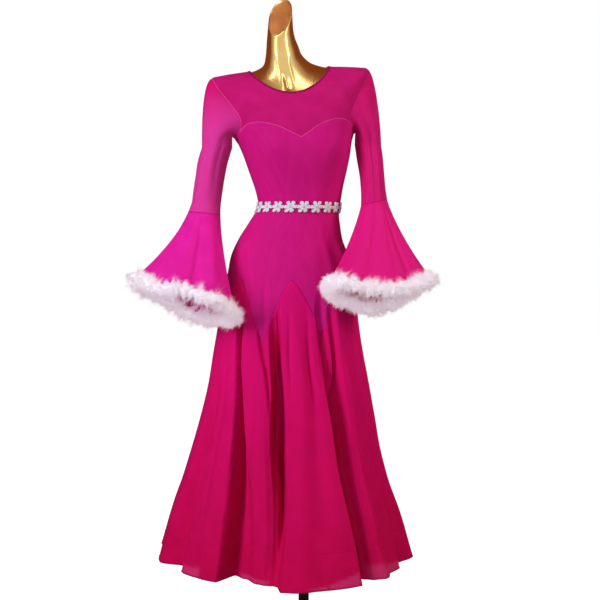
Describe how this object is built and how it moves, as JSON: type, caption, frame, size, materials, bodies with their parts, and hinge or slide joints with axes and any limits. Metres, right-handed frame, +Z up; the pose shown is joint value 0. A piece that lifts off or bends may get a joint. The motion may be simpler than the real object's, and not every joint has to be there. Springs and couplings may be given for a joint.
{
  "type": "ballroom dance dress on a dress form",
  "caption": "Long ballroom dance dress with a zigzag hip seam, flared godet skirt, sheer yoke and fur-edged bell sleeves, worn by a limbless dress form on a pole stand.",
  "frame": {"origin": "centre of the base's underside, on the pole's axis", "axes": "+Z up, -Y the front of the dress, +X to the right as seen from the front"},
  "size_m": [0.7518, 0.6941, 1.587],
  "materials": {
    "form_gold": "gold lacquer on fibreglass, high gloss",
    "stand_bronze": "dark bronze, gloss",
    "satin": "fuchsia stretch satin jersey, soft sheen",
    "mesh": "fuchsia stretch mesh, half sheer",
    "bell_satin": "bright fuchsia satin jersey",
    "crepe": "fuchsia-red crepe chiffon, matte",
    "marabou": "white down barbs, soft, pink in the shade",
    "guipure": "white cotton lace, matte"
  },
  "bodies": {
    "root": {"bell_left": "bell_satin", "bell_right": "bell_satin", "bodice_back": "satin", "bodice_front": "satin", "dress_form": "form_gold", "flower_belt": "guipure", "hem_band": "crepe", "marabou_trim_left": "marabou", "marabou_trim_right": "marabou", "skirt_godet_1": "crepe", "skirt_godet_2": "crepe", "skirt_godet_3": "crepe", "skirt_godet_4": "crepe", "skirt_godet_5": "crepe", "skirt_godet_6": "crepe", "sleeve_left": "mesh", "sleeve_right": "mesh", "stand_base": "stand_bronze", "stand_pole": "stand_bronze", "yoke_back": "mesh", "yoke_front": "mesh"}
  },
  "joints": []
}
